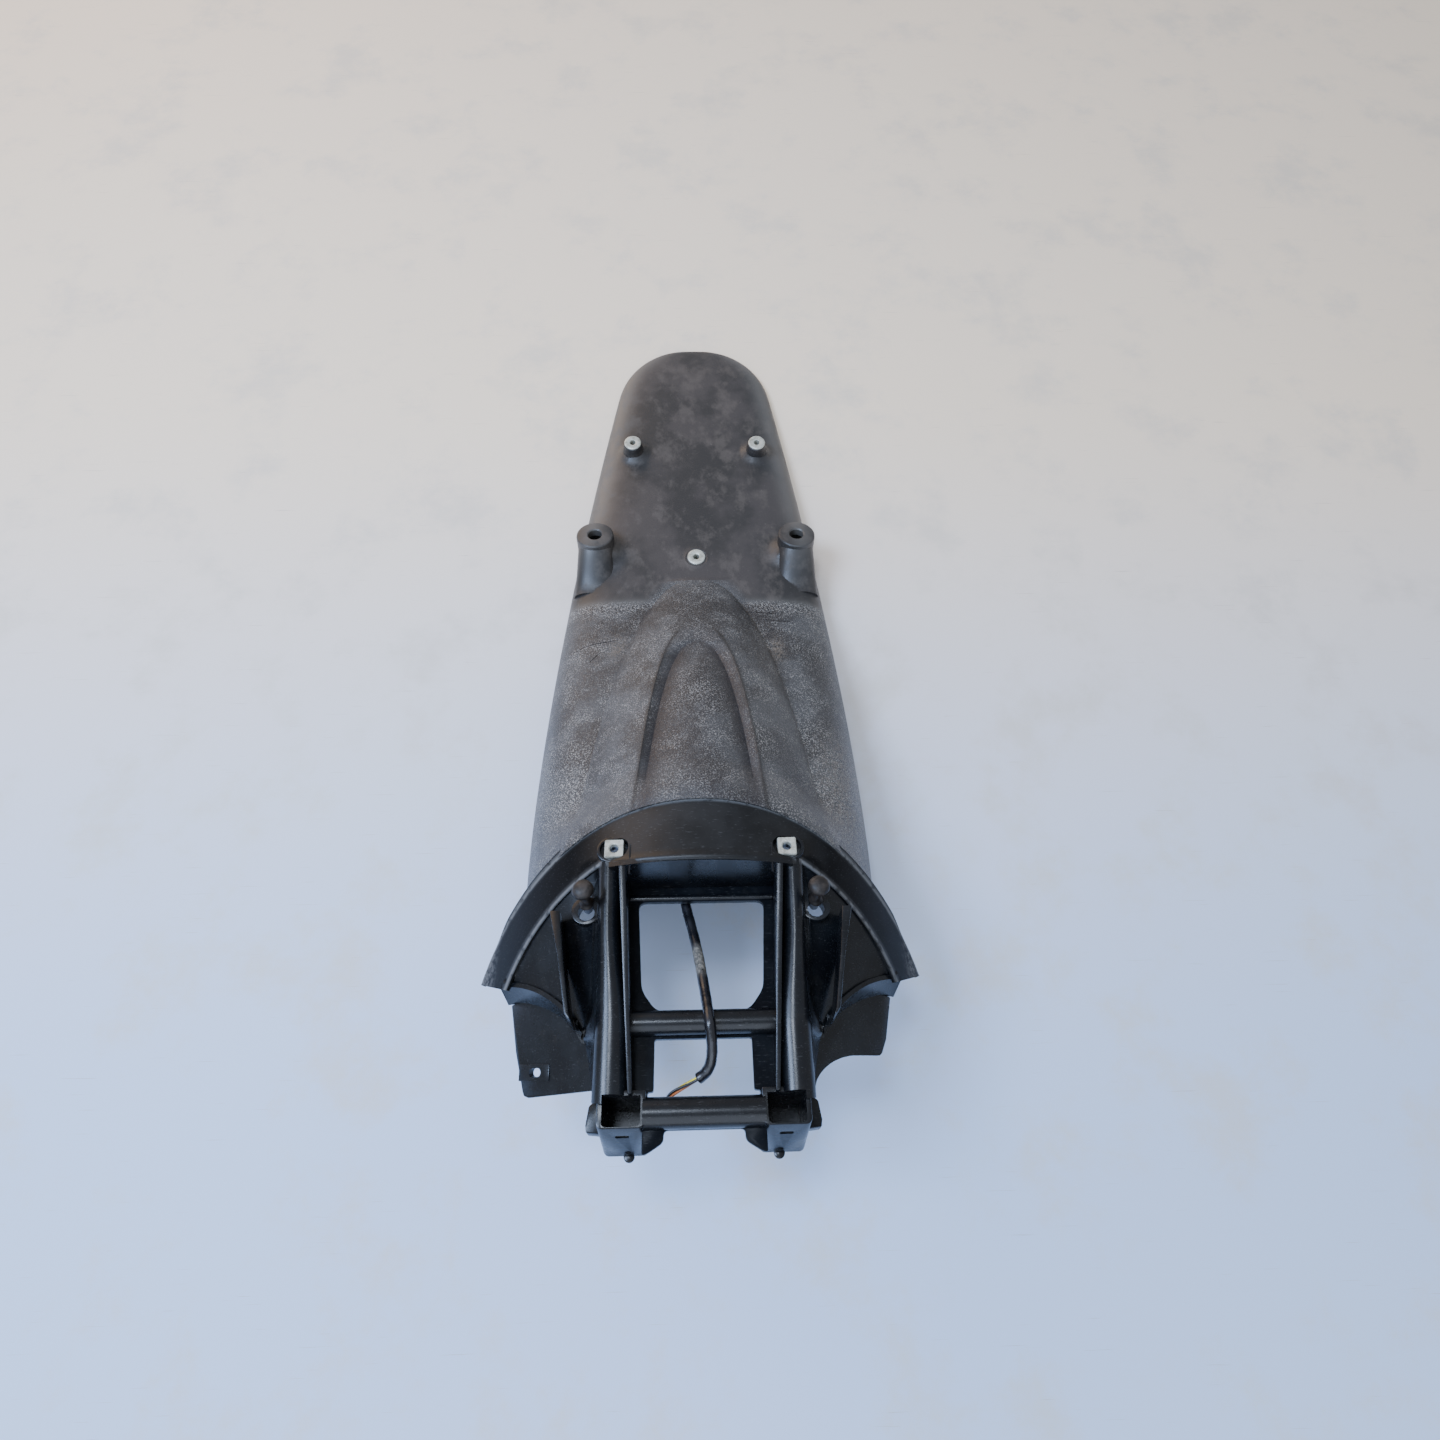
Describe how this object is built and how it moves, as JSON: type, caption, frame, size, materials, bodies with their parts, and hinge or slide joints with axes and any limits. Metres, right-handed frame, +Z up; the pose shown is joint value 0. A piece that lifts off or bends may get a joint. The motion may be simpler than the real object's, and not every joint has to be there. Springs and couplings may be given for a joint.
{
  "type": "motorcycle rear fender",
  "caption": "Plastic motorcycle rear fender: a humped channel with a tail flap, lamp bosses and an open front carrier with sockets, wings and a short loom.",
  "frame": {"origin": "centre of the bounding box at the level of the skirts' lower edges", "axes": "+Z up as the part lies on a bench, +Y towards the tip of the tail flap, +X to the right seen from above with the tail away"},
  "size_m": [0.26, 0.6601, 0.1551],
  "materials": {
    "moulding": "weathered textured black polypropylene, glossier on the carrier",
    "zinc": "dull zinc plate",
    "rubber": "matte",
    "loom": "soft vinyl sleeve",
    "plug": "plain"
  },
  "bodies": {
    "root": {"fender_moulding": "moulding", "plate_inserts": "zinc", "square_nuts": "zinc", "rubber_pegs": "rubber", "front_pins": "moulding", "loom_sleeve": "loom", "loom_leads": "loom", "loom_plugs": "plug"}
  },
  "joints": []
}
